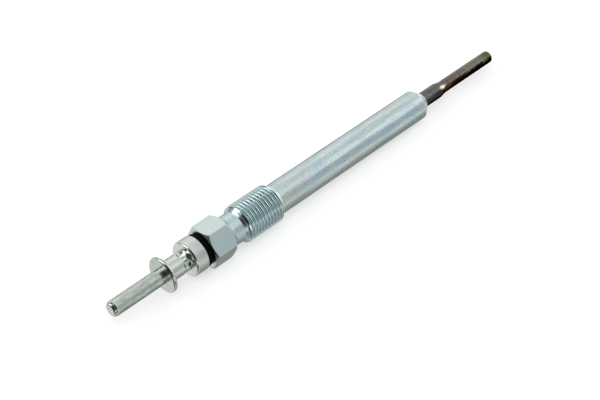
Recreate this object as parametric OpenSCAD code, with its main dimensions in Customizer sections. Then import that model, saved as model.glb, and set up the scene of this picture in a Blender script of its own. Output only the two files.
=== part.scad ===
// Sheathed diesel glow plug with a push-on terminal, lying as it comes to rest on a flat surface.
// Every piece is turned or wound about one axis. Stations along that axis are counted from the free
// end of the terminal pin, and the finished plug is laid down along +X with its heated tip ahead.
// Sizes are in millimetres.

/* [Terminal] */
// Diameter of the contact pin
pin_d = 4; // [3.4:0.1:4.6]
// Length of the contact pin, from its free end to the flange
pin_l = 15.5; // [10:0.5:20]
// Length of the lead-in at the pin's free end
pin_lead_l = 0.9; // [0.4:0.1:1.6]
// Drop of the lead-in, on the radius
pin_lead_h = 0.3; // [0.1:0.05:0.6]
// Diameter of the flange behind the pin
flange_d = 9.3; // [8:0.1:10]
// Thickness of the flange
flange_t = 1.05; // [0.8:0.05:1.6]
// Rounding of the flange's edges
flange_edge = 0.3; // [0.05:0.05:0.35]
// Diameter of the neck that the connector's latch closes on
neck_d = 5.4; // [5:0.1:6]
// Length of the neck
neck_l = 6.25; // [5:0.25:8]
// Rounding where the pin and the neck meet a flat face
root_fillet = 0.15; // [0.05:0.05:0.3]
// Diameter of the collar that closes the body
collar_d = 9.15; // [8:0.05:9.8]
// Length of the collar
collar_l = 3.65; // [2.4:0.05:5]
// Rounding of the collar's rear edge
collar_edge = 0.55; // [0.1:0.05:0.8]
// Rounding of the collar's edge beside the seal
collar_back_edge = 0.15; // [0.05:0.05:0.4]
// Depth of the socket for the rod, from the collar's face
socket_l = 8.4; // [5.5:0.1:9]
// Number of crimp dents round the neck
crimp_count = 6; // [2:1:6]
// Radius of the crimping punch
crimp_punch_r = 2; // [1.2:0.1:2.1]
// Depth of a crimp dent
crimp_depth = 0.5; // [0.2:0.05:0.6]
// Length of a crimp dent with its sloped ends
crimp_l = 2.1; // [1.6:0.1:3]
// Land between the crimp dents and the collar
crimp_land = 0.15; // [0.15:0.05:1]
// Turn of the crimp dents from the hexagon's flats
crimp_turn = 11; // [0:1:90]

/* [Seal and bush] */
// Cord diameter of the sealing ring
seal_cord = 1.8; // [1.75:0.05:2.2]
// Width that the sealing ring is squeezed to
seal_w = 1.7; // [1.4:0.05:1.7]
// Outside diameter of the insulating bush
bush_d = 5.1; // [4.7:0.1:5.6]
// Depth of the bush in the body
bush_depth = 4.8; // [3:0.1:7]
// Lead-in of the bush and of the rod
lead_in = 0.15; // [0.05:0.05:0.2]

/* [Plug body] */
// Hexagon across its flats
hex_af = 10; // [9:0.5:12]
// Length of the hexagon along its edges
hex_l = 6; // [4:0.25:9]
// Diameter of the flat face left on the hexagon's rear
hex_face_d = 9.7; // [9.2:0.1:10.4]
// Angle of the chamfer on the hexagon's rear
hex_chamfer = 30; // [15:5:40]
// Angle of the run-out from the hexagon to the relief
hex_runout = 48; // [35:1:60]
// Diameter of the relief between hexagon and thread
relief_d = 8; // [7:0.1:8.6]
// Length from the hexagon's edges to the thread
relief_l = 4.3; // [3.5:0.1:6]
// Fillet at the hexagon's end of the relief
relief_fillet = 0.6; // [0.2:0.1:1]
// Major diameter of the thread
thread_d = 10; // [9:0.5:12]
// Length of the thread with its chamfers
thread_l = 13.15; // [9:0.25:20]
// Length of the chamfer at each end of the thread
thread_lead = 1.2; // [0.6:0.1:2]
// Diameter of the shank
shank_d = 8; // [7:0.1:8.6]
// Length of the shank
shank_l = 51.55; // [40:0.5:80]
// Length of the conical seat
seat_l = 2.3; // [1:0.1:4]
// Diameter at the small end of the seat
seat_end_d = 4.6; // [4.4:0.1:5.4]
// Bore round the rod
bore_d = 4.6; // [4.3:0.1:5]
// Length over which the heating tube is pressed in the body
press_l = 24; // [15:1:28]

/* [Heating tube] */
// Diameter of the tube where it leaves the body
tube_d = 4.05; // [3.7:0.05:4.2]
// Length of the tube held inside the body
tube_in_l = 30; // [29:1:38]
// Length of the thick part in front of the seat
tube_out_l = 5.65; // [3:0.25:10]
// Length of the swaged taper
swage_l = 2.9; // [1.5:0.1:4]
// Diameter of the heated tip
tip_d = 3.3; // [3.1:0.1:3.6]
// Length of the heated tip
tip_l = 18.5; // [15:0.5:25]
// Rounding of the tip's end
tip_round = 0.55; // [0.2:0.05:0.9]
// Wall of the tube
tube_wall = 0.45; // [0.35:0.05:0.55]
// Wall at the closed end
tip_wall = 0.9; // [0.6:0.1:1.2]
// Length of the seal in the tube's rear end
tube_seal_l = 2.5; // [1.5:0.1:4]

/* [Rod and coils] */
// Diameter of the inner rod
rod_d = 3.2; // [2.6:0.1:3.6]
// Diameter of the rod inside the tube
rod_thin_d = 1.8; // [1.4:0.1:2.2]
// Length of the cone between the rod's two diameters
rod_cone_l = 0.7; // [0.3:0.1:1.5]
// Distance from the cone's start to the tube's rear end
rod_cone_gap = 2; // [1.6:0.1:4]
// Length of the spigot that carries the control coil
spigot_l = 3.4; // [2:0.1:5]
// Mean diameter of the coils
coil_d = 1.3; // [1.1:0.05:1.45]
// Diameter of the coil wire
wire_d = 0.36; // [0.24:0.02:0.42]
// Length of the control coil
control_l = 14.4; // [10:0.2:18]
// Turns of the control coil
control_turns = 16; // [8:1:20]
// Length of the heating coil
heating_l = 8; // [5:0.2:9]
// Turns of the heating coil
heating_turns = 10; // [5:1:12]
// Length of the straight joint between the coils
joint_l = 1; // [0.6:0.1:2]
// Length of the straight lead from the heating coil to the tip
tip_lead_l = 0.8; // [0.4:0.1:1.2]
// Height of a bend from a coil to its lead
bend_h = 0.4; // [0.25:0.05:0.6]

/* [Fits] */
// Clearance between nested pieces, on the radius
fit_gap = 0.02; // [0.01:0.01:0.05]

/* [Resting pose] */
// Side of the hexagon that lies undermost, counted round from the first
rest_side = 2; // [0:1:5]
// Roll from the middle of that side, as a share of the way to the corner that stops it
rest_lean = -0.7; // [-1:0.1:1]

/* [Hidden] */

zinc = "#c4cfd0";
nickel = "#cfd0ca";
seal_black = "#131315";
bush_tan = "#cdb991";
rod_grey = "#b3b3af";
tube_dark = "#4b443f";
seal_brown = "#3a2f2a";
magnesia_white = "#e9e6dd";
control_grey = "#8d8d92";
heating_bronze = "#a08a70";

$fn = 96;
arc_steps = 6;
swage_steps = 10;
turn_steps = 12;
bend_steps = 4;
bend_angle = 40;
wire_sides = 6;
cut = 1;

pin_r = pin_d / 2;
neck_r = neck_d / 2;
rod_r = rod_d / 2;
bush_r = bush_d / 2;
relief_r = relief_d / 2;
thread_r = thread_d / 2;
shank_r = shank_d / 2;
bore_r = bore_d / 2;
tube_r = tube_d / 2;
tip_r = tip_d / 2;
thin_r = rod_thin_d / 2;
coil_r = coil_d / 2;
wire_r = wire_d / 2;
hex_corner_r = hex_af / 2 / cos(30);
hex_env_r = hex_corner_r + fit_gap;
hex_face_r = hex_face_d / 2;
spigot_r = coil_r - wire_r - fit_gap;
channel_in_r = coil_r - wire_r - 2 * fit_gap;
channel_out_r = coil_r + wire_r + 2 * fit_gap;

flange_z = pin_l;
neck_z = flange_z + flange_t;
collar_z = neck_z + neck_l;
collar_end_z = collar_z + collar_l;
socket_z = collar_end_z - socket_l;
crimp_end_z = collar_z - crimp_land;
crimp_z = crimp_end_z - crimp_l;
crimp_rise = 1.2 * crimp_depth;
hex_z = collar_end_z + seal_w;
bush_end_z = hex_z + bush_depth;
runout_z = hex_z + hex_l;
thread_z = runout_z + relief_l;
thread_full_z = thread_z + thread_lead;
shank_z = thread_z + thread_l;
thread_end_z = shank_z - thread_lead;
seat_z = shank_z + shank_l;
seat_end_z = seat_z + seat_l;
swage_z = seat_end_z + tube_out_l;
tip_z = swage_z + swage_l;
end_z = tip_z + tip_l;
press_z = seat_end_z - press_l;
tube_z = seat_end_z - tube_in_l;
filling_z = tube_z + tube_seal_l;
filling_end_z = end_z - tip_wall;
heating_end_z = filling_end_z - tip_lead_l;
heating_z = heating_end_z - heating_l;
control_end_z = heating_z - joint_l;
control_z = control_end_z - control_l;
joint_mid_z = (control_end_z + heating_z) / 2;
cone_z = tube_z - rod_cone_gap;
shoulder_z = control_z - wire_r - fit_gap;
spigot_end_z = shoulder_z + spigot_l;

// The plug lies on its shank's front edge and on whichever part behind it reaches lowest. It is free to
// roll there until a corner of the hexagon touches too.
rest_points = [
    [flange_z + flange_t / 2, flange_d / 2],
    [collar_end_z - collar_back_edge, collar_d / 2],
    [runout_z, hex_af / 2],
    [thread_end_z, thread_r]
];
rest_tilt = atan(max([for (p = rest_points) (p[1] - shank_r) / (seat_z - p[0])]));
rest_h = seat_z * sin(rest_tilt) + shank_r * cos(rest_tilt);
rest_reach = (rest_h - runout_z * sin(rest_tilt)) / cos(rest_tilt);
roll_limit = 30 - acos(min(1, rest_reach / hex_corner_r));
rest_roll = 60 * rest_side + rest_lean * roll_limit;
pin_face_x = -(pin_r - pin_lead_h) * sin(rest_tilt);
tip_face_x = end_z * cos(rest_tilt) + (tip_r - tip_round) * sin(rest_tilt);
mid_x = (pin_face_x + tip_face_x) / 2;

function arc(centre, r, from, to) =
    [for (i = [0 : arc_steps]) let (a = from + (to - from) * i / arc_steps) centre + r * [cos(a), sin(a)]];

function rim(r, z0, z1, edge0, edge1) = concat(
    arc([r - edge0, z0 + edge0], edge0, -90, 0),
    arc([r - edge1, z1 - edge1], edge1, 0, 90)
);

function swage(r0, r1) =
    [for (i = [0 : swage_steps]) let (t = i / swage_steps) [
        r1 + (r0 - r1) * (1 + cos(180 * t)) / 2,
        swage_z + swage_l * t
    ]];

function on_coil(angle, z) = [coil_r * cos(angle), coil_r * sin(angle), z];

// Each point of a winding is its angle round the axis and its station.
function winding(angle0, z0, z1, turns) = let (n = turns * turn_steps)
    [for (i = [0 : n]) [angle0 + 360 * turns * i / n, z0 + (z1 - z0) * i / n]];

function bend_out(angle, z) =
    [for (i = [1 : bend_steps]) let (a = 90 * i / bend_steps) [
        angle + bend_angle * sin(a),
        z + bend_h * (1 - cos(a))
    ]];

function bend_in(angle, z) =
    [for (i = [0 : bend_steps - 1]) let (a = 90 * i / bend_steps) [
        angle + bend_angle * (1 - cos(a)),
        z + bend_h * sin(a)
    ]];

function unit(v) = v / norm(v);

function heading(path, i) = unit(path[min(i + 1, len(path) - 1)] - path[max(i - 1, 0)]);

module turned(outline) rotate_extrude() polygon(outline);

module laid()
    translate([-mid_x, 0, rest_h])
        rotate([0, 90 + rest_tilt, 0])
            rotate([0, 0, rest_roll])
                children();

// Round wire along a winding about the axis.
module wire(winds) {
    path = [for (w = winds) on_coil(w[0], w[1])];
    rings = [for (i = [0 : len(path) - 1]) let (
        along = heading(path, i),
        out = [cos(winds[i][0]), sin(winds[i][0]), 0],
        side = cross(along, out)
    ) [for (k = [0 : wire_sides - 1]) let (a = 360 * k / wire_sides)
        path[i] + wire_r * (cos(a) * out + sin(a) * side)]];
    last = len(rings) - 1;
    polyhedron(
        points = [for (ring = rings) each ring],
        faces = concat(
            [[for (k = [0 : wire_sides - 1]) k]],
            [[for (k = [wire_sides - 1 : -1 : 0]) last * wire_sides + k]],
            [for (i = [0 : last - 1], k = [0 : wire_sides - 1]) let (
                a = i * wire_sides + k,
                b = i * wire_sides + (k + 1) % wire_sides
            ) each [[a, a + wire_sides, b], [b, a + wire_sides, b + wire_sides]]]
        )
    );
}

module lead_hole(angle, z0, z1)
    translate(on_coil(angle, z0))
        cylinder(r = wire_r + fit_gap, h = z1 - z0);

// A crimping punch is turned about its own line beside the neck, with ends sloped at 45 degrees.
module crimp_dent()
    translate([neck_r - crimp_depth + crimp_punch_r, 0, 0])
        turned([
            [0, crimp_z + crimp_depth - crimp_rise],
            [crimp_punch_r - crimp_rise, crimp_z + crimp_depth - crimp_rise],
            [crimp_punch_r, crimp_z + crimp_depth],
            [crimp_punch_r, crimp_end_z - crimp_depth],
            [crimp_punch_r - crimp_rise, crimp_end_z - crimp_depth + crimp_rise],
            [0, crimp_end_z - crimp_depth + crimp_rise]
        ]);

module hexagon() intersection() {
    translate([0, 0, hex_z])
        rotate([0, 0, 30])
            cylinder(r = hex_corner_r, h = hex_l + relief_l, $fn = 6);
    turned(concat(
        [
            [0, hex_z],
            [hex_face_r, hex_z],
            [hex_env_r, hex_z + (hex_env_r - hex_face_r) * tan(hex_chamfer)],
            [hex_env_r, runout_z]
        ],
        arc(
            [
                relief_r + relief_fillet,
                runout_z + (hex_env_r - relief_r - relief_fillet * (1 - cos(hex_runout))) / tan(hex_runout)
                    + relief_fillet * sin(hex_runout)
            ],
            relief_fillet, 180 + hex_runout, 180
        ),
        [[relief_r, thread_z], [0, thread_z]]
    ));
}

module plug_body() color(zinc) laid() difference() {
    union() {
        hexagon();
        turned([
            [0, hex_z + cut],
            [relief_r, hex_z + cut],
            [relief_r, thread_z],
            [thread_r, thread_full_z],
            [thread_r, thread_end_z],
            [shank_r, shank_z],
            [shank_r, seat_z],
            [seat_end_d / 2, seat_end_z],
            [0, seat_end_z]
        ]);
    }
    turned([
        [0, hex_z - cut],
        [bush_r + fit_gap, hex_z - cut],
        [bush_r + fit_gap, bush_end_z],
        [bore_r, bush_end_z],
        [bore_r, press_z],
        [tube_r + fit_gap, press_z + bore_r - tube_r],
        [tube_r + fit_gap, seat_end_z + cut],
        [0, seat_end_z + cut]
    ]);
}

module terminal() color(nickel) laid() difference() {
    turned(concat(
        [[0, 0], [pin_r - pin_lead_h, 0], [pin_r, pin_lead_l]],
        arc([pin_r + root_fillet, flange_z - root_fillet], root_fillet, 180, 90),
        rim(flange_d / 2, flange_z, neck_z, flange_edge, flange_edge),
        arc([neck_r + root_fillet, neck_z + root_fillet], root_fillet, 270, 180),
        [[neck_r, collar_z]],
        rim(collar_d / 2, collar_z, collar_end_z, collar_edge, collar_back_edge),
        [
            [rod_r + fit_gap, collar_end_z],
            [rod_r + fit_gap, socket_z],
            [0, socket_z]
        ]
    ));
    for (i = [1 : crimp_count])
        rotate([0, 0, crimp_turn + 360 * i / crimp_count])
            crimp_dent();
}

module o_ring() color(seal_black) laid() {
    centre = [bush_r + fit_gap + seal_cord / 2, collar_end_z + seal_w / 2];
    flat = asin(seal_w / seal_cord);
    turned(concat(
        arc(centre, seal_cord / 2, -flat, flat),
        arc(centre, seal_cord / 2, 180 - flat, 180 + flat)
    ));
}

module insulating_bush() color(bush_tan) laid() turned([
    [rod_r + fit_gap, collar_end_z],
    [bush_r, collar_end_z],
    [bush_r, bush_end_z - lead_in],
    [bush_r - lead_in, bush_end_z],
    [rod_r + fit_gap, bush_end_z]
]);

module inner_rod() color(rod_grey) laid() turned([
    [0, socket_z],
    [rod_r - lead_in, socket_z],
    [rod_r, socket_z + lead_in],
    [rod_r, cone_z],
    [thin_r, cone_z + rod_cone_l],
    [thin_r, shoulder_z],
    [spigot_r, shoulder_z],
    [spigot_r, spigot_end_z],
    [0, spigot_end_z]
]);

module heating_tube() color(tube_dark) laid() turned(concat(
    [[tube_r - tube_wall, tube_z], [tube_r, tube_z]],
    swage(tube_r, tip_r),
    arc([tip_r - tip_round, end_z - tip_round], tip_round, 0, 90),
    [[0, end_z], [0, filling_end_z], [tip_r - tube_wall, filling_end_z]],
    [for (i = [swage_steps : -1 : 0]) swage(tube_r - tube_wall, tip_r - tube_wall)[i]]
));

module tube_seal() color(seal_brown) laid() turned([
    [thin_r + fit_gap, tube_z],
    [tube_r - tube_wall - fit_gap, tube_z],
    [tube_r - tube_wall - fit_gap, filling_z],
    [thin_r + fit_gap, filling_z]
]);

// Compacted powder, with a channel round each coil and a hole for each straight lead.
module magnesia_filling() color(magnesia_white) laid() difference() {
    turned(concat(
        [[thin_r + fit_gap, filling_z], [tube_r - tube_wall - fit_gap, filling_z]],
        swage(tube_r - tube_wall - fit_gap, tip_r - tube_wall - fit_gap),
        [
            [tip_r - tube_wall - fit_gap, filling_end_z],
            [0, filling_end_z],
            [0, spigot_end_z],
            [channel_in_r, spigot_end_z],
            [channel_in_r, control_end_z],
            [channel_out_r, control_end_z],
            [channel_out_r, shoulder_z],
            [thin_r + fit_gap, shoulder_z]
        ]
    ));
    turned([
        [channel_in_r, heating_z],
        [channel_out_r, heating_z],
        [channel_out_r, heating_end_z],
        [channel_in_r, heating_end_z]
    ]);
    lead_hole(0, control_end_z - cut / 2, heating_z + cut / 2);
    lead_hole(2 * bend_angle, heating_end_z - cut / 2, filling_end_z + cut);
}

module control_coil() color(control_grey) laid() wire(concat(
    winding(-bend_angle, control_z, control_end_z - bend_h, control_turns),
    bend_out(-bend_angle, control_end_z - bend_h),
    [[0, joint_mid_z]]
));

module heating_coil() color(heating_bronze) laid() wire(concat(
    [[0, joint_mid_z]],
    bend_in(0, heating_z),
    winding(bend_angle, heating_z + bend_h, heating_end_z - bend_h, heating_turns),
    bend_out(bend_angle, heating_end_z - bend_h),
    [[2 * bend_angle, filling_end_z]]
));

plug_body();
terminal();
o_ring();
insulating_bush();
inner_rod();
heating_tube();
tube_seal();
magnesia_filling();
control_coil();
heating_coil();
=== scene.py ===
import math

import bpy
import numpy as np
from mathutils import Matrix, Vector


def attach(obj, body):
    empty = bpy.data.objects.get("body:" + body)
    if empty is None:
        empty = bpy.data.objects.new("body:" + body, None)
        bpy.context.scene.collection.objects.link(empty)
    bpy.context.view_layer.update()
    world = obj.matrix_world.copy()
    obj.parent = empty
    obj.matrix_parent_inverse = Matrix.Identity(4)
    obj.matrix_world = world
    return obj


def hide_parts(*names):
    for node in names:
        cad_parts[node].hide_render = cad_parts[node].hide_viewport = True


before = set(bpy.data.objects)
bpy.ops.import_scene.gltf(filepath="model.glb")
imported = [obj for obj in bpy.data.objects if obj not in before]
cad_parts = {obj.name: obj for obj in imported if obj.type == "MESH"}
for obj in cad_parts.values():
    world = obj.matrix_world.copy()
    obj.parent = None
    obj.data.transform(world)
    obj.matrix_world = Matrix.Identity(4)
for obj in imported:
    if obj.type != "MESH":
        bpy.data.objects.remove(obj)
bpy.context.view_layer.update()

MM = 0.001

# Sizes in millimetres. Stations run along the plug's axis from the free end of the terminal pin.
PIN_R = 2.0
PIN_LEAD_L = 0.9
PIN_LEAD_H = 0.3
PIN_END_EDGE = 0.6
PIN_LEAD_EDGE = 1.0
PIN_POLE_R = 0.3
FLANGE_R = 4.65
FLANGE_Z = 15.5
FLANGE_EDGE = 0.5
NECK_R = 2.7
NECK_Z = 16.55
ROOT_FILLET = 0.15
COLLAR_R = 4.575
COLLAR_Z = 22.8
COLLAR_EDGE = 0.55
COLLAR_BACK_EDGE = 0.15
COLLAR_ROOT_FILLET = 0.04
COLLAR_END_Z = 26.45
SOCKET_R = 1.62
SOCKET_Z = 18.05
SOCKET_EDGE = 0.05
CRIMPS = 6
CRIMP_TURN = math.radians(11)
CRIMP_PUNCH_R = 2.0
CRIMP_DEPTH = 0.5
CRIMP_L = 2.1
CRIMP_LAND = 0.15
CRIMPED_Z = COLLAR_Z - CRIMP_L - 0.3
SEAL_CORD_R = 0.9
SEAL_W = 1.7
BUSH_R = 2.55
BUSH_DEPTH = 4.8
BUSH_MOUTH_EDGE = 0.06
FIT_GAP = 0.02
HEX_Z = COLLAR_END_Z + SEAL_W
HEX_FLAT_R = 5.0
HEX_FACE_R = 4.85
HEX_FACE_EDGE = 0.05
HEX_CHAMFER = math.radians(30)
HEX_CHAMFER_L = 0.7
HEX_RUNOUT = math.radians(48)
RUNOUT_Z = HEX_Z + 6.0
RELIEF_R = 4.0
RELIEF_FILLET = 0.6
RELIEF_BLEND_L = 0.4
THREAD_Z = RUNOUT_Z + 4.3
THREAD_R = 5.0
THREAD_LEAD = 1.2
THREAD_PITCH = 1.0
THREAD_DEPTH = 0.6134 * THREAD_PITCH
THREAD_CREST = 0.2
THREAD_EDGE = 0.08
THREAD_START = 0.43
THREAD_FADE_L = 0.5 * THREAD_PITCH
THREAD_FADE_FROM = 0.3
THREAD_FOOT_Z = THREAD_Z + 0.3
CHAMFER_FILLET = 0.1
SHANK_Z = THREAD_Z + 13.15
SHANK_R = 4.0
THREAD_FRONT_Z = SHANK_Z - THREAD_LEAD
SEAT_Z = SHANK_Z + 51.55
SEAT_EDGE = 0.12
SEAT_END_R = 2.3
SEAT_END_Z = SEAT_Z + 2.3
SEAT_END_EDGE = 0.06
SEAT_BORE_EDGE = 0.03
BORE_R = 2.3
PRESS_Z = SEAT_END_Z - 24.0
TUBE_R = 2.025
TUBE_WALL = 0.45
TUBE_Z = SEAT_END_Z - 30.0
TUBE_END_EDGE = 0.04
TUBE_END_L = 2.0
TUBE_POLE_R = 0.2
SWAGE_Z = SEAT_END_Z + 5.65
SWAGE_L = 2.9
TIP_R = 1.65
TIP_ROUND = 0.55
TIP_WALL = 0.9
TIP_FLOOR_FILLET = 0.15
NOSE_L = 3.0
END_Z = SWAGE_Z + SWAGE_L + 18.5

# Fineness of the meshes: columns round the axis, rows of a curve, and the longest row in millimetres.
BODY_COLUMNS = 192
TERMINAL_COLUMNS = 240
SEAL_COLUMNS = 128
TUBE_COLUMNS = 112
SEAL_ROWS = 24
SWAGE_ROWS = 25
NOSE_STEPS = 10
CHAMFER_STEP = 0.03
FLAT_STEP = 1.0
RELIEF_STEP = 0.05
THREAD_STEP = 0.05
SHANK_STEP = 6.0
CRIMP_STEP = 0.05
# How far past the hexagon's face the rows of its chamfer start, and the gap left where an outline closes.
PAST_FACE = 0.001
SLACK = 0.01

# How the plug lies: on its thread and its shank's front edge, rolled most of the way from the middle of
# one side of the hexagon towards the corner that would stop it.
REST_SIDE = 2
REST_LEAN = -0.7
REST_TILT = math.atan((THREAD_R - SHANK_R) / (SEAT_Z - SHANK_Z + THREAD_LEAD))
REST_H = SEAT_Z * math.sin(REST_TILT) + SHANK_R * math.cos(REST_TILT)
HEX_CORNER_R = HEX_FLAT_R / math.cos(math.radians(30))
HEX_BAR_R = HEX_CORNER_R + FIT_GAP
REST_REACH = (REST_H - RUNOUT_Z * math.sin(REST_TILT)) / math.cos(REST_TILT)
ROLL_LIMIT = math.radians(30) - math.acos(REST_REACH / HEX_CORNER_R)
REST_ROLL = math.radians(60) * REST_SIDE + REST_LEAN * ROLL_LIMIT
PIN_FACE_X = -(PIN_R - PIN_LEAD_H) * math.sin(REST_TILT)
TIP_FACE_X = END_Z * math.cos(REST_TILT) + (TIP_R - TIP_ROUND) * math.sin(REST_TILT)
ORIGIN = np.array([-(PIN_FACE_X + TIP_FACE_X) / 2, 0.0, REST_H])
AXIS = np.array([math.cos(REST_TILT), 0.0, -math.sin(REST_TILT)])
DOWN = np.array([-math.sin(REST_TILT), 0.0, -math.cos(REST_TILT)])
SIDE = np.array([0.0, 1.0, 0.0])


def laid(radius, angle, station):
    """Points at a radius, an angle round the plug and a station along it, in metres in the row frame."""
    turn = (angle + REST_ROLL)[..., None]
    spoke = np.cos(turn) * DOWN + np.sin(turn) * SIDE
    return (ORIGIN + station[..., None] * AXIS + radius[..., None] * spoke) * MM


def unit(v):
    """The vector over its length."""
    return v / np.linalg.norm(v)


def rounded(*corners, steps=5, rest=0.04):
    """Outline through (radius, station, rounding) corners: straight lines joined by tangent arcs.
    A point a little way along each line keeps the shading of the line flat."""
    path = np.array(corners)[:, :2]
    outline = [path[0]]
    for before, corner, after, edge in zip(path, path[1:], path[2:], [c[2] for c in corners[1:]]):
        if edge == 0:
            outline.append(corner)
            continue
        back, ahead = unit(before - corner), unit(after - corner)
        half = math.acos(np.clip(back @ ahead, -1, 1)) / 2
        reach = edge / math.tan(half)
        centre = corner + unit(back + ahead) * edge / math.sin(half)
        first, last = corner + back * reach - centre, corner + ahead * reach - centre
        sweep = math.pi - 2 * half
        t = np.linspace(0, 1, steps + 1)[:, None]
        arc = centre + (np.sin((1 - t) * sweep) * first + np.sin(t * sweep) * last) / math.sin(sweep)
        outline += [corner + back * (reach + rest), *arc, corner + ahead * (reach + rest)]
    return np.array(outline + [path[-1]])


def refined(outline, start, end, step):
    """The outline with its lines between two stations cut into equal lengths of at most one step."""
    a, b = outline[:-1], outline[1:]
    middle = (a + b) / 2
    inside = (middle[:, 1] > start) & (middle[:, 1] < end)
    cuts = np.where(inside, np.ceil(np.linalg.norm(b - a, axis=1) / step), 1).astype(int)
    line = np.repeat(np.arange(len(a)), cuts)
    share = (np.arange(len(line)) - np.repeat(np.cumsum(cuts) - cuts, cuts)) / cuts[line]
    return np.vstack([a[line] + (b - a)[line] * share[:, None], outline[-1:]])


def around(columns):
    """Even angles round the axis, as one row."""
    return np.linspace(0, 2 * math.pi, columns, endpoint=False)[None, :]


def turned_piece(name, radius, station, closed):
    """A grid of rows along an outline and columns round the axis. A closed outline joins its last row to
    its first, and an open one ends on the axis in two poles."""
    rows, columns = radius.shape
    angle = around(columns)
    points = laid(radius, np.broadcast_to(angle, radius.shape), np.broadcast_to(station, radius.shape))
    points = points.reshape(-1, 3)
    here = np.arange(columns)
    there = (here + 1) % columns
    row = np.arange(rows if closed else rows - 1)[:, None] * columns
    ahead = (row + columns) % (rows * columns)
    faces = np.stack([row + here, row + there, ahead + there, ahead + here], -1).reshape(-1, 4).tolist()
    if not closed:
        ends = laid(np.zeros(2), np.zeros(2), np.array([station[0, 0], station[-1, 0]]))
        first, last = len(points), len(points) + 1
        top = (rows - 1) * columns
        points = np.vstack([points, ends])
        faces += np.stack([np.full(columns, first), there, here], -1).tolist()
        faces += np.stack([top + here, top + there, np.full(columns, last)], -1).tolist()
    mesh = bpy.data.meshes.new(name)
    mesh.from_pydata(points.tolist(), [], faces)
    mesh.polygons.foreach_set("use_smooth", np.ones(len(mesh.polygons), bool))
    mesh.update()
    piece = bpy.data.objects.new(name, mesh)
    bpy.context.scene.collection.objects.link(piece)
    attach(piece, "root")
    return piece


def hexagon(angle):
    """Distance from the axis to a hexagon's flat: half its width over the cosine of the angle off it."""
    off = (angle + math.pi / 6) % (math.pi / 3) - math.pi / 6
    return HEX_FLAT_R / np.cos(off)


def thread(angle, station):
    """A right-hand 60 degree thread: past the edge of a flat crest the radius falls along a hyperbola that
    nears the straight flanks, down to a flat root, and one turn moves it by one pitch. It starts in the rear
    chamfer and runs out just before the front one."""
    turn = (station + THREAD_START) / THREAD_PITCH - angle / (2 * math.pi)
    off = np.abs(turn - np.round(turn)) * THREAD_PITCH
    past = np.maximum(off - THREAD_CREST / 2, 0)
    fall = np.hypot(past / math.tan(math.radians(30)), THREAD_EDGE) - THREAD_EDGE
    inside = np.minimum(station - THREAD_FOOT_Z, THREAD_FRONT_Z - station)
    depth = THREAD_DEPTH * np.clip(inside / THREAD_FADE_L + THREAD_FADE_FROM, 0, 1)
    return THREAD_R - np.minimum(fall, depth)


def crimped(radius, angle, station):
    """The neck with a round punch pressed in at even angles, its line beside the axis and its ends sloped at
    45 degrees: where a ray from the axis meets the punch before it meets the neck, the surface lies on it."""
    centre_r = NECK_R - CRIMP_DEPTH + CRIMP_PUNCH_R
    middle = COLLAR_Z - CRIMP_LAND - CRIMP_L / 2
    past = np.maximum(np.abs(station - middle) - (CRIMP_L / 2 - CRIMP_DEPTH), 0)
    pitch = 2 * math.pi / CRIMPS
    off = (angle - CRIMP_TURN + pitch / 2) % pitch - pitch / 2
    hit = np.maximum(CRIMP_PUNCH_R - past, 0) ** 2 - (centre_r * np.sin(off)) ** 2
    pressed = centre_r * np.cos(off) - np.sqrt(np.maximum(hit, 0))
    return np.where(hit > 0, np.minimum(radius, pressed), radius)


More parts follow.
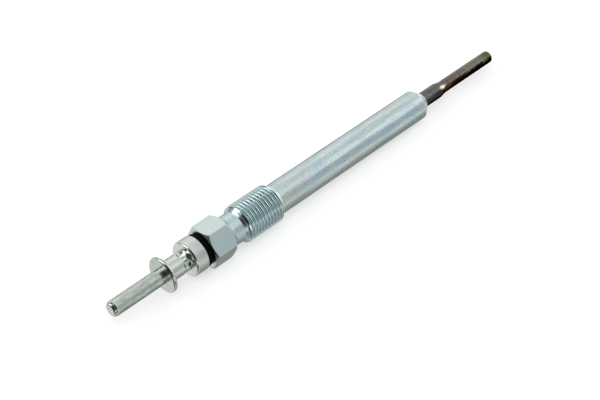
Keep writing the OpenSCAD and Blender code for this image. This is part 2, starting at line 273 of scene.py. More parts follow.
def body_piece():
    """One closed outline turned round the axis, out along the outside and back through the bore. The outside
    is cut to the hexagon behind the thread and to the helix along it, by the lesser radius of the two."""
    fillet_z = RUNOUT_Z + (HEX_BAR_R - RELIEF_R) / math.tan(HEX_RUNOUT)
    outline = rounded(
        (BUSH_R + FIT_GAP, HEX_Z + BUSH_DEPTH / 2, 0),
        (BUSH_R + FIT_GAP, HEX_Z, BUSH_MOUTH_EDGE),
        (HEX_FACE_R, HEX_Z, HEX_FACE_EDGE),
        (HEX_BAR_R, HEX_Z + (HEX_BAR_R - HEX_FACE_R) * math.tan(HEX_CHAMFER), 0),
        (HEX_BAR_R, RUNOUT_Z, 0),
        (RELIEF_R, fillet_z, RELIEF_FILLET),
        (RELIEF_R, THREAD_FOOT_Z, CHAMFER_FILLET),
        (THREAD_R, THREAD_FOOT_Z + THREAD_LEAD, 0),
        (THREAD_R, THREAD_FRONT_Z, 0),
        (SHANK_R, SHANK_Z, CHAMFER_FILLET),
        (SHANK_R, SEAT_Z, SEAT_EDGE),
        (SEAT_END_R, SEAT_END_Z, SEAT_END_EDGE),
        (TUBE_R + FIT_GAP, SEAT_END_Z, SEAT_BORE_EDGE),
        (TUBE_R + FIT_GAP, PRESS_Z + BORE_R - TUBE_R, 0),
        (BORE_R, PRESS_Z, 0),
        (BORE_R, HEX_Z + BUSH_DEPTH, 0),
        (BUSH_R + FIT_GAP, HEX_Z + BUSH_DEPTH, 0),
        (BUSH_R + FIT_GAP, HEX_Z + BUSH_DEPTH / 2 + SLACK, 0),
    )
    split = int(np.argmax(outline[:, 1]))
    outer, inner = outline[: split + 1], outline[split + 1 :]
    outer = refined(outer, HEX_Z + PAST_FACE, HEX_Z + HEX_CHAMFER_L, CHAMFER_STEP)
    outer = refined(outer, HEX_Z + HEX_CHAMFER_L, RUNOUT_Z, FLAT_STEP)
    outer = refined(outer, RUNOUT_Z, fillet_z + RELIEF_BLEND_L, RELIEF_STEP)
    outer = refined(outer, THREAD_Z, SHANK_Z, THREAD_STEP)
    outer = refined(outer, SHANK_Z, SEAT_Z, SHANK_STEP)
    rows = np.vstack([outer, inner])
    is_outer = np.arange(len(rows))[:, None] < len(outer)
    radius, station = rows[:, :1], rows[:, 1:]
    angle = around(BODY_COLUMNS)
    in_thread = is_outer & (station > THREAD_Z) & (station < SHANK_Z)
    cut = np.where(is_outer & (station < THREAD_Z), np.minimum(radius, hexagon(angle)), radius)
    cut = np.where(in_thread, np.minimum(cut, thread(angle, station)), cut)
    return turned_piece("plug_body_turned", cut, station, closed=True)


def terminal_piece():
    """One open outline turned round the axis, from the pin's end to the floor of the socket, with the crimps
    pressed into the neck."""
    outline = rounded(
        (PIN_POLE_R, 0.0, 0),
        (PIN_R - PIN_LEAD_H, 0.0, PIN_END_EDGE),
        (PIN_R, PIN_LEAD_L, PIN_LEAD_EDGE),
        (PIN_R, FLANGE_Z, ROOT_FILLET),
        (FLANGE_R, FLANGE_Z, FLANGE_EDGE),
        (FLANGE_R, NECK_Z, FLANGE_EDGE),
        (NECK_R, NECK_Z, ROOT_FILLET),
        (NECK_R, CRIMPED_Z, 0),
        (NECK_R, COLLAR_Z, COLLAR_ROOT_FILLET),
        (COLLAR_R, COLLAR_Z, COLLAR_EDGE),
        (COLLAR_R, COLLAR_END_Z, COLLAR_BACK_EDGE),
        (SOCKET_R, COLLAR_END_Z, SOCKET_EDGE),
        (SOCKET_R, SOCKET_Z, 0),
        (PIN_POLE_R, SOCKET_Z, 0),
    )
    split = int(np.argmax(outline[:, 1]))
    outer = refined(outline[: split + 1], CRIMPED_Z, COLLAR_Z, CRIMP_STEP)
    rows = np.vstack([outer, outline[split + 1 :]])
    radius, station = rows[:, :1], rows[:, 1:]
    is_outer = np.arange(len(rows))[:, None] < len(outer)
    is_neck = is_outer & (station > NECK_Z) & (station < COLLAR_Z) & (radius < NECK_R + SLACK)
    shape = np.where(is_neck, crimped(radius, around(TERMINAL_COLUMNS), station), radius)
    return turned_piece("terminal_turned", shape, station, closed=False)


def seal_piece():
    """A round cord squeezed flat between the collar and the hexagon: two arcs of one circle and two flats."""
    flat = math.asin(SEAL_W / 2 / SEAL_CORD_R)
    outer = np.linspace(-flat, flat, SEAL_ROWS)
    inner = np.linspace(math.pi - flat, math.pi + flat, SEAL_ROWS)
    sweep = np.concatenate([outer, inner])
    radius = BUSH_R + FIT_GAP + SEAL_CORD_R + SEAL_CORD_R * np.cos(sweep)
    station = COLLAR_END_Z + SEAL_W / 2 + SEAL_CORD_R * np.sin(sweep)
    rings = np.repeat(radius[:, None], SEAL_COLUMNS, 1)
    return turned_piece("o_ring_moulded", rings, station[:, None], closed=True)


def swage(start_r, end_r):
    """Half a cosine wave from one radius to the other along the swaged taper."""
    t = np.linspace(0, 1, SWAGE_ROWS)
    return np.stack([end_r + (start_r - end_r) * (1 + np.cos(math.pi * t)) / 2, SWAGE_Z + SWAGE_L * t], -1)


def tube_piece():
    """One open outline turned round the axis: from the floor of the tip back along the inside, round the open
    end, and forward along the outside to the rounded nose."""
    bore_r = TUBE_R - TUBE_WALL
    tip_bore_r = TIP_R - TUBE_WALL
    end = rounded((bore_r, TUBE_Z + TUBE_END_L, 0), (bore_r, TUBE_Z, TUBE_END_EDGE),
                  (TUBE_R, TUBE_Z, TUBE_END_EDGE), (TUBE_R, TUBE_Z + TUBE_END_L, 0))
    nose = rounded((TIP_R, END_Z - NOSE_L, 0), (TIP_R, END_Z, TIP_ROUND), (TUBE_POLE_R, END_Z, 0),
                   steps=NOSE_STEPS)
    floor_z = END_Z - TIP_WALL
    bottom = rounded((TUBE_POLE_R, floor_z, 0), (tip_bore_r, floor_z, TIP_FLOOR_FILLET),
                     (tip_bore_r, END_Z - NOSE_L, 0))
    inner = swage(bore_r, tip_bore_r)[::-1]
    rows = np.vstack([bottom, inner, end, swage(TUBE_R, TIP_R), nose])
    rings = np.repeat(rows[:, :1], TUBE_COLUMNS, 1)
    return turned_piece("heating_tube_swaged", rings, rows[:, 1:], closed=False)


def linear(code):
    """sRGB hex to linear RGBA: a straight line near black, and a power of 2.4 above it."""
    rgb = np.array([int(code[i : i + 2], 16) for i in (1, 3, 5)]) / 255
    return (*np.where(rgb <= 0.04045, rgb / 12.92, ((rgb + 0.055) / 1.055) ** 2.4), 1.0)


def add(tree, kind, settings=(), stops=(), **links):
    """A node with its settings, its colour stops as (place, hex), and its links. A link is named for its
    socket, or i and the socket's number, and its value is another node's socket or a plain value."""
    made = tree.nodes.new(kind)
    for key, value in dict(settings).items():
        setattr(made, key, value)
    if stops:
        band = made.color_ramp.elements
        while len(band) < len(stops):
            band.new(0.5)
        for element, (where, code) in zip(band, stops):
            element.position = where
            element.color = linear(code)
    for key, value in links.items():
        by_number = key[0] == "i" and key[1:].isdigit()
        socket = made.inputs[int(key[1:]) if by_number else key.replace("_", " ")]
        if isinstance(value, bpy.types.NodeSocket):
            tree.links.new(value, socket)
        else:
            socket.default_value = value
    return made


def blank(name):
    """A new material with its node tree, its shader and the place of a point in metres."""
    material = bpy.data.materials.new(name)
    material.use_nodes = True
    tree = material.node_tree
    shader = tree.nodes["Principled BSDF"]
    place = add(tree, "ShaderNodeTexCoord").outputs["Object"]
    return material, tree, shader, place


def along_axis(tree, place):
    """Distance along the plug's axis in metres, from the middle of its box: the place dotted with it."""
    along = add(tree, "ShaderNodeVectorMath", {"operation": "DOT_PRODUCT"}, i0=place, i1=tuple(AXIS))
    return along.outputs["Value"]


def round_axis(tree, place):
    """The axis crossed with the way from it to a point: square to both, and as long as the point's radius."""
    off_axis = add(tree, "ShaderNodeVectorMath", {"operation": "SUBTRACT"}, i0=place, i1=tuple(ORIGIN * MM))
    lever = add(tree, "ShaderNodeVectorMath", {"operation": "CROSS_PRODUCT"}, i0=tuple(AXIS),
                i1=off_axis.outputs["Vector"])
    return lever.outputs["Vector"]


def zone(tree, axial, start, end, edge):
    """1 between two stations and 0 outside them, with a soft edge that wide, all in millimetres."""
    middle = ((start + end) / 2 + ORIGIN @ AXIS) * MM
    centred = add(tree, "ShaderNodeMath", {"operation": "SUBTRACT"}, i0=axial, i1=middle)
    away = add(tree, "ShaderNodeMath", {"operation": "ABSOLUTE"}, i0=centred.outputs["Value"])
    inside = add(tree, "ShaderNodeMapRange", Value=away.outputs["Value"],
                 From_Min=(end - start + edge) / 2 * MM, From_Max=(end - start - edge) / 2 * MM)
    return inside.outputs["Result"]


# Zones of the plated body: first and last station, and the width of their soft edges, in millimetres.
ROLLED = (THREAD_FOOT_Z + 0.8, THREAD_FRONT_Z, 0.4)
MILLED = (HEX_Z - 1.0, RUNOUT_Z + 0.7, 1.4)
NECKED = (RUNOUT_Z + 0.7, THREAD_FOOT_Z + 0.8, 0.6)
HANDLED = (HEX_Z - 4.0, SHANK_Z + 14.0, 6.0)
FRONT_CHAMFER = (THREAD_FRONT_Z + 0.1, SHANK_Z + 0.1, 0.2)
SEAT_CONE = (SEAT_Z, SEAT_END_Z, 0.2)
# Radii in millimetres between which painted shade in the thread's roots fades out towards its crests.
ROOT_SHADE_R = 4.4
CREST_SHADE_R = 4.95
# Sizes of the zinc's patterns in millimetres. Drawing streaks and zinc crystals are finer than a pixel, so
# the streaks and the grain are drawn several times coarser than they are, to show. Streaks are ten times as
# long as wide and waves six times, so their places are squeezed that much along the plug.
ZINC_CLOUD = 6.0
ZINC_STREAK_W = 0.7
ZINC_STREAK_SQUEEZE = (0.1, 1.0, 1.0)
ZINC_GRAIN = 0.5
ZINC_GRAIN_H = 0.02
ZINC_WAVE_W = 2.2
ZINC_WAVE_SQUEEZE = (0.16, 1.0, 1.0)
ZINC_WAVE_H = 0.4
# How strongly each pattern shows on the plain body and on the milled hexagon.
STREAKS_SHOW = (0.22, 0.04)
SPECKS_SHOW = (0.62, 0.08)
WAVES_SHOW = (0.36, 0.1)
GRAIN_BUMP = 0.2
# Roughness: the plain body's least and most, then each zone's.
SATIN_ROUGH = (0.13, 0.27)
HANDLED_ROUGH = 0.3
ROLLED_ROUGH = 0.13
BEVELLED_ROUGH = 0.4


def zinc_plate():
    """Drawn steel with bright zinc and a thin blue passivate: satin, pale blue-green, with faint straw and
    violet clouds, streaks and shallow waves along the axis from drawing, and a fine grain. The milled hexagon
    is plainer, the rolled thread smoother and bluer, with painted shade in its roots, the part that is
    handled duller, and the turned bevels are pale and matt."""
    material, tree, shader, place = blank("blue_passivated_zinc")
    axial = along_axis(tree, place)
    rolled = zone(tree, axial, *ROLLED)
    milled = zone(tree, axial, *MILLED)
    necked = zone(tree, axial, *NECKED)
    handled = zone(tree, axial, *HANDLED)
    bevelled = add(tree, "ShaderNodeMath", {"operation": "MAXIMUM"}, i0=zone(tree, axial, *FRONT_CHAMFER),
                   i1=zone(tree, axial, *SEAT_CONE)).outputs["Value"]
    clouds = add(tree, "ShaderNodeTexNoise", Vector=place, Scale=1 / (ZINC_CLOUD * MM), Detail=3.0,
                 Roughness=0.6)
    drawn = add(tree, "ShaderNodeVectorMath", {"operation": "MULTIPLY"}, i0=place, i1=ZINC_STREAK_SQUEEZE)
    streaks = add(tree, "ShaderNodeTexNoise", Vector=drawn.outputs["Vector"],
                  Scale=1 / (ZINC_STREAK_W * MM), Detail=3.0)
    grain = add(tree, "ShaderNodeTexNoise", Vector=place, Scale=1 / (ZINC_GRAIN * MM), Detail=3.0,
                Roughness=0.7)

    tint = add(tree, "ShaderNodeValToRGB", Fac=clouds.outputs["Fac"],
               stops=((0.3, "#bfd2d8"), (0.44, "#c6d8da"), (0.56, "#ced9d3"), (0.68, "#cccddd")))
    blued = add(tree, "ShaderNodeMixRGB", Fac=rolled, Color1=tint.outputs["Color"], Color2=linear("#d2e6e8"))
    cut = add(tree, "ShaderNodeMixRGB", Fac=milled, Color1=blued.outputs["Color"], Color2=linear("#ccdbda"))
    turned = add(tree, "ShaderNodeMixRGB", Fac=necked, Color1=cut.outputs["Color"], Color2=linear("#c8dbdf"))
    # Painted shade in the thread's roots: darker at the root radius, none at the crests.
    reach = add(tree, "ShaderNodeVectorMath", {"operation": "LENGTH"}, i0=round_axis(tree, place))
    height = add(tree, "ShaderNodeMapRange", Value=reach.outputs["Value"], From_Min=ROOT_SHADE_R * MM,
                 From_Max=CREST_SHADE_R * MM)
    root_painted_shade = add(tree, "ShaderNodeValToRGB", Fac=height.outputs["Result"],
                stops=((0.0, "#e2e6e7"), (1.0, "#ffffff")))
    root_shaded = add(tree, "ShaderNodeMixRGB", {"blend_type": "MULTIPLY"}, Fac=rolled,
                   Color1=turned.outputs["Color"], Color2=root_painted_shade.outputs["Color"])
    paled = add(tree, "ShaderNodeMixRGB", Fac=bevelled, Color1=root_shaded.outputs["Color"],
                Color2=linear("#eaf2ef"))
    streak_share = add(tree, "ShaderNodeMapRange", Value=milled, To_Min=STREAKS_SHOW[0],
                       To_Max=STREAKS_SHOW[1])
    streak_shade = add(tree, "ShaderNodeValToRGB", Fac=streaks.outputs["Fac"],
                       stops=((0.34, "#c2cace"), (0.6, "#ffffff")))
    streaked = add(tree, "ShaderNodeMixRGB", {"blend_type": "MULTIPLY"}, Fac=streak_share.outputs["Result"],
                   Color1=paled.outputs["Color"], Color2=streak_shade.outputs["Color"])
    speck_share = add(tree, "ShaderNodeMapRange", Value=milled, To_Min=SPECKS_SHOW[0],
                      To_Max=SPECKS_SHOW[1])
    speck_shade = add(tree, "ShaderNodeValToRGB", Fac=grain.outputs["Fac"],
                      stops=((0.28, "#747c7f"), (0.44, "#ffffff")))
    specked = add(tree, "ShaderNodeMixRGB", {"blend_type": "MULTIPLY"}, Fac=speck_share.outputs["Result"],
                  Color1=streaked.outputs["Color"], Color2=speck_shade.outputs["Color"])
    tree.links.new(specked.outputs["Color"], shader.inputs["Base Color"])
    shader.inputs["Metallic"].default_value = 1.0

    satin = add(tree, "ShaderNodeMapRange", Value=grain.outputs["Fac"], To_Min=SATIN_ROUGH[0],
                To_Max=SATIN_ROUGH[1])
    dulled = add(tree, "ShaderNodeMix", i0=handled, i2=satin.outputs["Result"], i3=HANDLED_ROUGH)
    smooth = add(tree, "ShaderNodeMix", i0=rolled, i2=dulled.outputs[0], i3=ROLLED_ROUGH)
    rough = add(tree, "ShaderNodeMix", i0=bevelled, i2=smooth.outputs[0], i3=BEVELLED_ROUGH)
    tree.links.new(rough.outputs[0], shader.inputs["Roughness"])

    long_waves = add(tree, "ShaderNodeVectorMath", {"operation": "MULTIPLY"}, i0=place, i1=ZINC_WAVE_SQUEEZE)
    waves = add(tree, "ShaderNodeTexNoise", Vector=long_waves.outputs["Vector"],
                Scale=1 / (ZINC_WAVE_W * MM), Detail=1.0)
    wave_share = add(tree, "ShaderNodeMapRange", Value=milled, To_Min=WAVES_SHOW[0],
                     To_Max=WAVES_SHOW[1])
    uneven = add(tree, "ShaderNodeBump", Strength=wave_share.outputs["Result"], Distance=ZINC_WAVE_H * MM,
                 Height=waves.outputs["Fac"])
    relief = add(tree, "ShaderNodeMath", {"operation": "ADD"}, i0=streaks.outputs["Fac"],
                 i1=grain.outputs["Fac"])
    bump = add(tree, "ShaderNodeBump", Strength=GRAIN_BUMP, Distance=ZINC_GRAIN_H * MM,
               Height=relief.outputs["Value"], Normal=uneven.outputs["Normal"])
    tree.links.new(bump.outputs["Normal"], shader.inputs["Normal"])
    return material


# Sizes of the nickel's patterns in millimetres. Turning lines are finer than a pixel, so they are drawn
# coarser than they are, to show. Scuffs are three times as long as wide, and start past the pin's lead.
NICKEL_HAZE = 5.0
NICKEL_LINE_W = 0.2
NICKEL_LINE_H = 0.02
NICKEL_SCUFF_W = 0.7
NICKEL_SCUFF_SQUEEZE = (0.35, 1.0, 1.0)
SCUFF_FADE_IN = 0.6
SCUFF_FADE_OUT = 0.2
SATIN_COLLAR = (COLLAR_Z + 0.8, COLLAR_END_Z, 0.4)
# How strongly the turning lines show, and the roughness of the plain plate, the collar and the scuffed pin.
LINES_SHOW = 0.12
LINE_BUMP = 0.1
BRIGHT_ROUGH = (0.12, 0.24)
COLLAR_ROUGH = 0.36
SCUFFED_ROUGH = 0.24


def nickel_plate():
    """Turned steel with bright nickel: smoother and more neutral than zinc, faintly warm, with fine turning
    lines and a little handling haze. The pin is scuffed along its length by its connector, and the collar is
    satin."""
    material, tree, shader, place = blank("bright_nickel_plate")
    axial = along_axis(tree, place)
    haze = add(tree, "ShaderNodeTexNoise", Vector=place, Scale=1 / (NICKEL_HAZE * MM), Detail=4.0,
               Roughness=0.6)
    lines = add(tree, "ShaderNodeTexNoise", {"noise_dimensions": "1D"}, W=axial,
                Scale=1 / (NICKEL_LINE_W * MM), Detail=2.0)
    slid = add(tree, "ShaderNodeVectorMath", {"operation": "MULTIPLY"}, i0=place, i1=NICKEL_SCUFF_SQUEEZE)
    scuffs = add(tree, "ShaderNodeTexNoise", Vector=slid.outputs["Vector"], Scale=1 / (NICKEL_SCUFF_W * MM),
                 Detail=4.0, Roughness=0.7)
    lead, flange = (np.array([PIN_LEAD_L, FLANGE_Z]) + ORIGIN @ AXIS) * MM
    pin = add(tree, "ShaderNodeMapRange", Value=axial, From_Min=flange + SCUFF_FADE_OUT * MM,
              From_Max=flange - SCUFF_FADE_OUT * MM)
    rubbed = add(tree, "ShaderNodeMapRange", Value=axial, From_Min=lead, From_Max=lead + SCUFF_FADE_IN * MM,
                 To_Max=pin.outputs["Result"])

    tint = add(tree, "ShaderNodeValToRGB", Fac=haze.outputs["Fac"],
               stops=((0.3, "#c8d1ca"), (0.7, "#dce2dc")))
    line_shade = add(tree, "ShaderNodeValToRGB", Fac=lines.outputs["Fac"],
                     stops=((0.3, "#a0a5a0"), (0.7, "#ffffff")))
    lined = add(tree, "ShaderNodeMixRGB", {"blend_type": "MULTIPLY"}, Fac=LINES_SHOW,
                Color1=tint.outputs["Color"], Color2=line_shade.outputs["Color"])
    scuff_shade = add(tree, "ShaderNodeValToRGB", Fac=scuffs.outputs["Fac"],
                      stops=((0.3, "#c8ccc6"), (0.62, "#f6f8f4")))
    dulled = add(tree, "ShaderNodeMixRGB", {"blend_type": "MULTIPLY"}, Fac=rubbed.outputs["Result"],
                 Color1=lined.outputs["Color"], Color2=scuff_shade.outputs["Color"])
    tree.links.new(dulled.outputs["Color"], shader.inputs["Base Color"])
    shader.inputs["Metallic"].default_value = 1.0

    bright = add(tree, "ShaderNodeMapRange", Value=haze.outputs["Fac"], To_Min=BRIGHT_ROUGH[0],
                 To_Max=BRIGHT_ROUGH[1])
    satin = add(tree, "ShaderNodeMix", i0=zone(tree, axial, *SATIN_COLLAR), i2=bright.outputs["Result"],
                i3=COLLAR_ROUGH)
    rough = add(tree, "ShaderNodeMix", i0=rubbed.outputs["Result"], i2=satin.outputs[0], i3=SCUFFED_ROUGH)
    tree.links.new(rough.outputs[0], shader.inputs["Roughness"])
    bump = add(tree, "ShaderNodeBump", Strength=LINE_BUMP, Distance=NICKEL_LINE_H * MM,
               Height=lines.outputs["Fac"])
    tree.links.new(bump.outputs["Normal"], shader.inputs["Normal"])
    return material


# Sizes of the tube's patterns in millimetres: the oxide's mottle and its height, the drift of the edge of the
# painted shade, and the straw flecks along it. Oxide is finer than a pixel, so the mottle is drawn coarser
# than it is, to show.
OXIDE_MOTTLE = 0.9
OXIDE_H = 0.03
OXIDE_BUMP = 0.2
OXIDE_ROUGH = (0.16, 0.34)
OXIDE_SHOWS = 0.6
SHADE_EDGE_DRIFT = 3.5
STRAW_FLECK = 0.45
STRAW_ZONE = (SWAGE_Z + 2.0, END_Z + 1.0, 1.0)
# How far the mottle shifts the heat tints, as a share of the length of the tube that shows.
TINT_SHIFT = 0.1
# Painted shade lies on the side away from this direction, the lower side that the lamps leave dark. Its edge
# is a level of the dot product with it, once the drift and the mottle are added in these shares.
LIT_SIDE = np.array([0.0, 0.6, 0.8])
DRIFT_SHARE = 0.7
MOTTLE_SHARE = 0.5
SHADE_LEVEL = 0.38
LIT_LEVEL = 0.72
STRAW_LEVEL = 0.54
# How far in level the straw flecks reach from their middle, gone and full, and which of them show.
STRAW_GONE = 0.32
STRAW_FULL = 0.05
FLECK_RANGE = (0.56, 0.7)
# Painted highlight, a bright straw glint on the swage: its place, how far it is drawn out along the plug,
# and its edges in mm.
GLINT_TURN = math.radians(43.5)
GLINT_Z = SWAGE_Z + 1.7
GLINT_DRAW = (0.4, 1.0, 1.0)
GLINT_OUTER = 1.15
GLINT_INNER = 0.6
GLINT_RAGGED = 0.9


def heat_tinted_alloy():
    """Drawn and swaged nickel alloy that has been glowed: a thin oxide, grey by the seat, brown along the tip
    and olive at its end. The lower side is nearly black with painted shade, darker copies of these
    tints, with straw flecks along its ragged edge, and a painted straw highlight lies on the swage."""
    material, tree, shader, place = blank("heat_tinted_nickel_alloy")
    axial = along_axis(tree, place)
    first, last = (np.array([SEAT_END_Z, END_Z]) + ORIGIN @ AXIS) * MM
    share = add(tree, "ShaderNodeMapRange", Value=axial, From_Min=first, From_Max=last)
    mottle = add(tree, "ShaderNodeTexNoise", Vector=place, Scale=1 / (OXIDE_MOTTLE * MM), Detail=4.0,
                 Roughness=0.65)
    shifted = add(tree, "ShaderNodeMath", {"operation": "MULTIPLY_ADD"}, i0=mottle.outputs["Fac"],
                  i1=TINT_SHIFT, i2=share.outputs["Result"])
    lit_tints = add(tree, "ShaderNodeValToRGB", Fac=shifted.outputs["Value"],
                stops=((0.05, "#6c7071"), (0.27, "#706e6c"), (0.4, "#756c65"), (0.75, "#807a72"),
                       (0.9, "#7e7a70"), (0.97, "#6f7052"), (1.0, "#646747")))
    # Painted shade: darker copies of the same heat tints, for the lower side.
    painted_shade_tints = add(tree, "ShaderNodeValToRGB", Fac=shifted.outputs["Value"],
                 stops=((0.05, "#43484a"), (0.25, "#45423e"), (0.34, "#4a3a26"), (0.46, "#2b2013"),
                        (0.7, "#20180f"), (0.95, "#0d0b0a")))

    facing = add(tree, "ShaderNodeVectorMath", {"operation": "NORMALIZE"}, i0=round_axis(tree, place))
    side = add(tree, "ShaderNodeVectorMath", {"operation": "DOT_PRODUCT"}, i0=facing.outputs["Vector"],
               i1=tuple(np.cross(AXIS, LIT_SIDE)))
    drift = add(tree, "ShaderNodeTexNoise", Vector=place, Scale=1 / (SHADE_EDGE_DRIFT * MM), Detail=1.0)
    wavy = add(tree, "ShaderNodeMath", {"operation": "MULTIPLY_ADD"}, i0=drift.outputs["Fac"],
               i1=DRIFT_SHARE, i2=side.outputs["Value"])
    ragged = add(tree, "ShaderNodeMath", {"operation": "MULTIPLY_ADD"}, i0=mottle.outputs["Fac"],
                 i1=MOTTLE_SHARE, i2=wavy.outputs["Value"])
    # Share of the lit side, 0 under the painted shade; it also sets the specular tint, dark there.
    lit_share = add(tree, "ShaderNodeMapRange", {"interpolation_type": "SMOOTHSTEP"},
                   Value=ragged.outputs["Value"], From_Min=SHADE_LEVEL, From_Max=LIT_LEVEL)
    tree.links.new(lit_share.outputs["Result"], shader.inputs["Specular Tint"])
    patches = add(tree, "ShaderNodeValToRGB", Fac=mottle.outputs["Fac"],
                  stops=((0.35, "#b0aca6"), (0.6, "#ffffff")))
    patchy = add(tree, "ShaderNodeMixRGB", {"blend_type": "MULTIPLY"}, Fac=OXIDE_SHOWS,
                 Color1=lit_tints.outputs["Color"], Color2=patches.outputs["Color"])
    tint = add(tree, "ShaderNodeMixRGB", Fac=lit_share.outputs["Result"], Color1=painted_shade_tints.outputs["Color"],
               Color2=patchy.outputs["Color"])

    from_edge = add(tree, "ShaderNodeMath", {"operation": "SUBTRACT"}, i0=ragged.outputs["Value"],
                    i1=STRAW_LEVEL)
    off_edge = add(tree, "ShaderNodeMath", {"operation": "ABSOLUTE"}, i0=from_edge.outputs["Value"])
    edge_band = add(tree, "ShaderNodeMapRange", Value=off_edge.outputs["Value"], From_Min=STRAW_GONE,
                    From_Max=STRAW_FULL, To_Max=zone(tree, axial, *STRAW_ZONE))
    flecks = add(tree, "ShaderNodeTexNoise", Vector=place, Scale=1 / (STRAW_FLECK * MM), Detail=2.0)
    straw = add(tree, "ShaderNodeMapRange", Value=flecks.outputs["Fac"], From_Min=FLECK_RANGE[0],
                From_Max=FLECK_RANGE[1], To_Max=edge_band.outputs["Result"])
    flecked = add(tree, "ShaderNodeMixRGB", Fac=straw.outputs["Result"], Color1=tint.outputs["Color"],
                  Color2=linear("#97794f"))

    # Painted highlight: a bright straw glint on the swage, a ragged spot round one place.
    glint_spoke = np.array([0.0, -math.sin(GLINT_TURN), math.cos(GLINT_TURN)])
    glint_place = (ORIGIN + GLINT_Z * AXIS + TUBE_R * glint_spoke) * MM * np.array(GLINT_DRAW)
    drawn_out = add(tree, "ShaderNodeVectorMath", {"operation": "MULTIPLY"}, i0=place, i1=GLINT_DRAW)
    away = add(tree, "ShaderNodeVectorMath", {"operation": "DISTANCE"}, i0=drawn_out.outputs["Vector"],
               i1=tuple(glint_place))
    glint_reach = add(tree, "ShaderNodeMath", {"operation": "MULTIPLY_ADD"}, i0=mottle.outputs["Fac"],
               i1=GLINT_RAGGED * MM, i2=away.outputs["Value"])
    glint_share = add(tree, "ShaderNodeMapRange", Value=glint_reach.outputs["Value"], From_Min=GLINT_OUTER * MM,
               From_Max=GLINT_INNER * MM)
    glinted = add(tree, "ShaderNodeMixRGB", Fac=glint_share.outputs["Result"], Color1=flecked.outputs["Color"],
                  Color2=linear("#f6ead0"))
    tree.links.new(glinted.outputs["Color"], shader.inputs["Base Color"])
    shader.inputs["Metallic"].default_value = 1.0

    rough = add(tree, "ShaderNodeMapRange", Value=mottle.outputs["Fac"], To_Min=OXIDE_ROUGH[0],
                To_Max=OXIDE_ROUGH[1])
    tree.links.new(rough.outputs["Result"], shader.inputs["Roughness"])
    bump = add(tree, "ShaderNodeBump", Strength=OXIDE_BUMP, Distance=OXIDE_H * MM,
               Height=mottle.outputs["Fac"])
    tree.links.new(bump.outputs["Normal"], shader.inputs["Normal"])
    return material


# The plain finishes vary in roughness by this much either way, and in height by this many millimetres.
ROUGHNESS_SPREAD = 0.06
MOTTLE_H = 0.05


def plain_finish(name, dark, light, grain, metallic, roughness, relief, specular=0.5):
    """A finish with mottled colour, roughness and bump of one grain size in millimetres."""
    material, tree, shader, place = blank(name)
    mottle = add(tree, "ShaderNodeTexNoise", Vector=place, Scale=1 / (grain * MM), Detail=4.0, Roughness=0.6)
    tint = add(tree, "ShaderNodeValToRGB", Fac=mottle.outputs["Fac"], stops=((0.3, dark), (0.7, light)))
    tree.links.new(tint.outputs["Color"], shader.inputs["Base Color"])
    shader.inputs["Metallic"].default_value = metallic
    shader.inputs["Specular IOR Level"].default_value = specular
    rough = add(tree, "ShaderNodeMapRange", Value=mottle.outputs["Fac"], To_Min=roughness - ROUGHNESS_SPREAD,
                To_Max=roughness + ROUGHNESS_SPREAD)
    tree.links.new(rough.outputs["Result"], shader.inputs["Roughness"])
    bump = add(tree, "ShaderNodeBump", Strength=relief, Distance=MOTTLE_H * MM, Height=mottle.outputs["Fac"])
    tree.links.new(bump.outputs["Normal"], shader.inputs["Normal"])
    return material


def dress(piece, material, node):
    """Gives a new piece its material, and hides the CAD node that it stands for."""
    piece.data.materials.append(material)
    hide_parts(node)


# Moulded rubber: near black, with a fine matt grain and no shine.
black_rubber = plain_finish("moulded_black_rubber", "#020202", "#060606", grain=0.3, metallic=0.0,
                            roughness=0.7, relief=0.15, specular=0.08)
dress(body_piece(), zinc_plate(), "plug_body")
dress(terminal_piece(), nickel_plate(), "terminal")
dress(tube_piece(), heat_tinted_alloy(), "heating_tube")
dress(seal_piece(), black_rubber, "o_ring")

# Finishes of the nodes inside: name, darkest and lightest colour, grain in millimetres, metallic, roughness
# and bump.
hidden_finishes = {
    # Moulded plastic filled with glass fibre: tan, mottled by short pale fibres near the skin.
    "insulating_bush": ("glass_filled_plastic", "#bfa877", "#d4c093", 0.25, 0.0, 0.5, 0.1),
    # Cold-drawn steel: grey and bright, faintly mottled.
    "inner_rod": ("drawn_steel", "#a7a8a6", "#bfc0bd", 0.8, 1.0, 0.32, 0.06),
    # Moulded rubber: dark brown, with a fine matt grain.
    "tube_seal": ("moulded_brown_rubber", "#33261f", "#453329", 0.3, 0.0, 0.6, 0.12),
    # Compacted magnesia powder: chalky white with grey specks.
    "magnesia_filling": ("compacted_magnesia", "#d5d1c6", "#f0ede5", 0.15, 0.0, 0.85, 0.2),
    # Drawn control wire of a cobalt iron alloy: dark bluish grey.
    "control_coil": ("drawn_control_wire", "#7c7d84", "#93949a", 0.2, 1.0, 0.36, 0.06),
    # Oxidised heating wire of an iron chromium alloy: dull bronze brown.
    "heating_coil": ("oxidised_heating_wire", "#7d6650", "#977d63", 0.2, 1.0, 0.42, 0.08),
}
for node_name, finish in hidden_finishes.items():
    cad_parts[node_name].material_slots[0].material = plain_finish(*finish)

scene = bpy.context.scene

# Camera of the photo: azimuth, elevation and roll, then distance, aim, lens and sensor in millimetres, and
# the nearest that it sees, in metres.
CAMERA_AZIMUTH = math.radians(-42.215)
CAMERA_ELEVATION = math.radians(40.351)
CAMERA_ROLL = math.radians(-4.675)
CAMERA_DISTANCE = 399.26
CAMERA_AIM = np.array([-8.222, -2.65, 2.564])
CAMERA_LENS = 98.06
CAMERA_SENSOR_W = 36.0
CAMERA_CLIP = 0.01

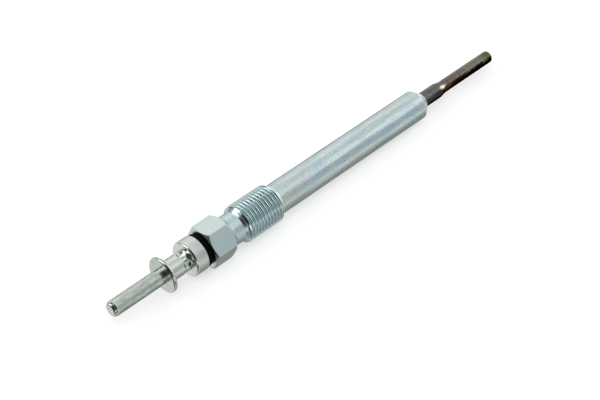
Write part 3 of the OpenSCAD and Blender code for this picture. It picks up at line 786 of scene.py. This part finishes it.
back = np.array([math.sin(CAMERA_AZIMUTH) * math.cos(CAMERA_ELEVATION),
                 -math.cos(CAMERA_AZIMUTH) * math.cos(CAMERA_ELEVATION), math.sin(CAMERA_ELEVATION)])
level = np.array([math.cos(CAMERA_AZIMUTH), math.sin(CAMERA_AZIMUTH), 0.0])
upright = np.cross(back, level)
right = math.cos(CAMERA_ROLL) * level + math.sin(CAMERA_ROLL) * upright
top = math.cos(CAMERA_ROLL) * upright - math.sin(CAMERA_ROLL) * level
stand = CAMERA_AIM + CAMERA_DISTANCE * back
lens = bpy.data.cameras.new("photo_camera")
lens.lens = CAMERA_LENS
lens.sensor_width = CAMERA_SENSOR_W
lens.clip_start = CAMERA_CLIP
camera = bpy.data.objects.new("photo_camera", lens)
scene.collection.objects.link(camera)
camera_turn = Matrix((Vector(right), Vector(top), Vector(back))).transposed().to_4x4()
camera.matrix_world = Matrix.Translation(Vector(stand * MM)) @ camera_turn
scene.camera = camera

# Floor: a white acrylic table lit from below as well, so shadows on it stay faint. The metal doesn't mirror
# it, and shows the surroundings there instead. Its reach is in metres.
FLOOR_REACH = 3.0
FLOOR_GLOW = 0.58
corners = np.array([(-1, -1, 0), (1, -1, 0), (1, 1, 0), (-1, 1, 0)]) * FLOOR_REACH
floor_mesh = bpy.data.meshes.new("studio_floor")
floor_mesh.from_pydata(corners.tolist(), [], [(0, 1, 2, 3)])
floor = bpy.data.objects.new("studio_floor", floor_mesh)
scene.collection.objects.link(floor)
acrylic, _, acrylic_shader, _ = blank("lit_white_acrylic")
acrylic_shader.inputs["Base Color"].default_value = linear("#bdbdbd")
acrylic_shader.inputs["Roughness"].default_value = 0.9
acrylic_shader.inputs["Specular IOR Level"].default_value = 0.0
acrylic_shader.inputs["Emission Color"].default_value = (1, 1, 1, 1)
acrylic_shader.inputs["Emission Strength"].default_value = FLOOR_GLOW
floor_mesh.materials.append(acrylic)
floor.visible_glossy = False


def glance(turn, station):
    """Where the camera's ray goes after it meets the plug, at a station and a normal that many degrees from
    up: twice the normal's share of the way to the camera, less that way."""
    view = unit(stand - ORIGIN - station * AXIS)
    normal = np.array([0.0, -math.sin(math.radians(turn)), math.cos(math.radians(turn))])
    return 2 * (normal @ view) * normal - view


# Surroundings: a bright tent with panels and dark gaps, which the plating mirrors. Each is a direction, the
# degrees within which it is full and beyond which it is gone, and what it multiplies the tent's light by.
TENT_LIGHT = (0.86, 0.86, 0.86, 1.0)
surroundings = [
    # The dark behind the camera, past the pin's end and low on the left: black on edges that face back.
    (back, 34, 58, (0.08, 0.08, 0.08)),
    ((-1.0, 0.0, 0.02), 36, 48, (0.05, 0.05, 0.05)),
    ((-0.8, -0.3, -0.52), 24, 44, (0.3, 0.3, 0.3)),
    # A lamp over the left end: glints on the thread's crests, its rear chamfer and the pin's end.
    ((-0.65, 0.4, 0.64), 13, 28, (4.5, 4.5, 4.5)),
    # Gaps and a panel behind the plug.
    ((-0.35, 0.9, 0.25), 8, 20, (0.25, 0.25, 0.25)),
    ((0.45, 0.82, -0.36), 8, 22, (0.45, 0.45, 0.45)),
    ((0.86, 0.4, -0.32), 12, 34, (1.4, 1.4, 1.4)),
    # Gaps overhead and low in front.
    ((-0.12, 0.52, 0.84), 12, 24, (0.2, 0.2, 0.2)),
    ((-0.2, -0.88, -0.42), 10, 26, (0.25, 0.25, 0.25)),
    # Panels past the tip, for bevels that face forward, and on the left in front, for ones that face back.
    ((0.93, -0.2, 0.3), 12, 26, (1.9, 1.9, 1.9)),
    ((-0.67, -0.73, -0.1), 10, 27, (4.0, 4.0, 4.0)),
    # Long panels beside the plug: a dark streak below its middle, a pale one on it, two on its upper side,
    # and the shade towards the floor.
    (glance(59, 58), 6, 28, (0.63, 0.67, 0.71)),
    (glance(37, 112), 5, 21, (1.27, 1.28, 1.3)),
    (glance(4, 6), 5, 16, (1.13, 1.13, 1.13)),
    (glance(-2, 25), 6, 24, (1.21, 1.21, 1.19)),
    (glance(113, 60), 14, 62, (0.4, 0.395, 0.37)),
]
world = bpy.data.worlds.new("studio_tent")
world.use_nodes = True
scene.world = world
sky = world.node_tree
towards = add(sky, "ShaderNodeTexCoord").outputs["Generated"]
light = TENT_LIGHT
for direction, full, gone, shade in surroundings:
    near = add(sky, "ShaderNodeVectorMath", {"operation": "DOT_PRODUCT"}, i0=towards,
               i1=tuple(unit(np.array(direction))))
    share = add(sky, "ShaderNodeMapRange", {"interpolation_type": "SMOOTHSTEP"}, Value=near.outputs["Value"],
                From_Min=math.cos(math.radians(gone)), From_Max=math.cos(math.radians(full)))
    light = add(sky, "ShaderNodeMixRGB", {"blend_type": "MULTIPLY"}, Fac=share.outputs["Result"],
                Color1=light, Color2=(*shade, 1.0)).outputs["Color"]
sky.links.new(light, sky.nodes["Background"].inputs["Color"])

# Key light: a square softbox above, a little to the camera's side. It lights the floor and isn't mirrored.
# Its place and size are in metres and its power in watts.
KEY_PLACE = Vector((-0.2, -0.22, 0.6))
KEY_SIZE = 0.5
KEY_POWER = 2.0
key = bpy.data.lights.new("overhead_softbox", "AREA")
key.shape = "RECTANGLE"
key.size = KEY_SIZE
key.size_y = KEY_SIZE
key.energy = KEY_POWER
key_lamp = bpy.data.objects.new("overhead_softbox", key)
key_lamp.location = KEY_PLACE
key_lamp.rotation_euler = (-KEY_PLACE).to_track_quat("-Z", "Y").to_euler()
key_lamp.visible_glossy = False
scene.collection.objects.link(key_lamp)

scene.view_settings.view_transform = "Standard"
